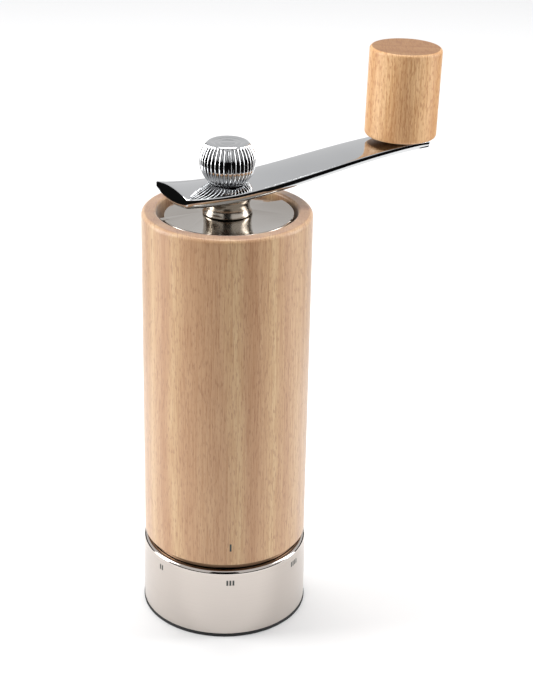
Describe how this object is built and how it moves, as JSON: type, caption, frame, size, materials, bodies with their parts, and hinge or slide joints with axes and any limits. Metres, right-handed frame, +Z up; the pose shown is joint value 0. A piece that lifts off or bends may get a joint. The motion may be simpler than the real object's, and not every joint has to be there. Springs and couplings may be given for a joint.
{
  "type": "burr coffee grinder",
  "caption": "Hand coffee grinder: turned wooden body, steel setting ring at the base, lid with swinging shutter, and a crank arm with a ball knob and a wooden handle.",
  "frame": {"origin": "centre of the foot's underside, on the shaft's axis", "axes": "+Z up along the shaft, -Y to the front where the index mark is, +X to the right"},
  "size_m": [0.1072, 0.0804, 0.2063],
  "materials": {
    "beech_body": "oiled beech, end grain at the rim",
    "beech_handle": "oiled beech",
    "polished_steel": "polished",
    "satin_steel": "satin, turned",
    "satin_nickel": "satin nickel",
    "bright_steel": "ground",
    "zinc_steel": "zinc plated",
    "burr_steel": "case-hardened, machined teeth",
    "chrome": "mirror chrome",
    "brass": "machined",
    "black_plastic": "moulded, fine grain",
    "dark_washer": "moulded",
    "white_nylon": "moulded nylon",
    "rubber": "moulded, matt"
  },
  "bodies": {
    "mill": {"wood_body": "beech_body", "collar_ring": "polished_steel", "burr_housing": "black_plastic", "housing_screws": "zinc_steel", "retaining_ring": "black_plastic", "retaining_screws": "zinc_steel", "detent_ball": "polished_steel", "detent_spring": "zinc_steel", "mid_bridge": "black_plastic", "mid_bush": "white_nylon", "lid_plate": "polished_steel", "hub_bush": "white_nylon"},
    "shutter": {"lid_shutter": "polished_steel"},
    "ring": {"ring_sleeve": "satin_steel", "ring_core": "black_plastic", "adjust_nut": "brass", "nut_clip": "zinc_steel"},
    "cup": {"grounds_cup": "black_plastic", "foot_pad": "rubber"},
    "stator": {"stator_carrier": "black_plastic", "stator_burr": "burr_steel", "stator_screws": "zinc_steel"},
    "crank": {"drive_shaft": "bright_steel", "shaft_clip": "zinc_steel", "rotor_burr": "burr_steel", "rotor_washer": "bright_steel", "rotor_screw": "zinc_steel", "drive_collar": "satin_nickel", "crank_arm": "chrome", "ball_knob": "chrome", "handle_bolt": "chrome", "handle_washer": "dark_washer", "handle_clip": "zinc_steel"},
    "handle": {"handle_knob": "beech_handle", "handle_bush": "white_nylon"}
  },
  "joints": [
    {"name": "crank_spin", "type": "hinge", "parent": "mill", "child": "crank", "pos_m": [0, 0, 0.16], "axis": [0, 0, 1], "continuous": true},
    {"name": "handle_spin", "type": "hinge", "parent": "crank", "child": "handle", "pos_m": [0.0627, 0.0362, 0.1719], "axis": [0.0212, 0.0122, 0.9997], "continuous": true},
    {"name": "shutter_turn", "type": "hinge", "parent": "mill", "child": "shutter", "pos_m": [0, 0, 0.1545], "axis": [0, 0, 1], "range_deg": [0, 175]},
    {"name": "ring_turn", "type": "hinge", "parent": "mill", "child": "ring", "pos_m": [0, 0, 0.015], "axis": [0, 0, 1], "range_deg": [-162, 108]},
    {"name": "stator_lift", "type": "slide", "parent": "mill", "child": "stator", "axis": [0, 0, 1], "range_m": [-0.0005, 0.0006]},
    {"name": "cup_pull", "type": "slide", "parent": "ring", "child": "cup", "axis": [0, 0, -1], "range_m": [0, 0.03]}
  ],
  "couplings": [
    {"joint": "stator_lift", "follows": "ring_turn", "m_per_rad": -0.000191}
  ]
}
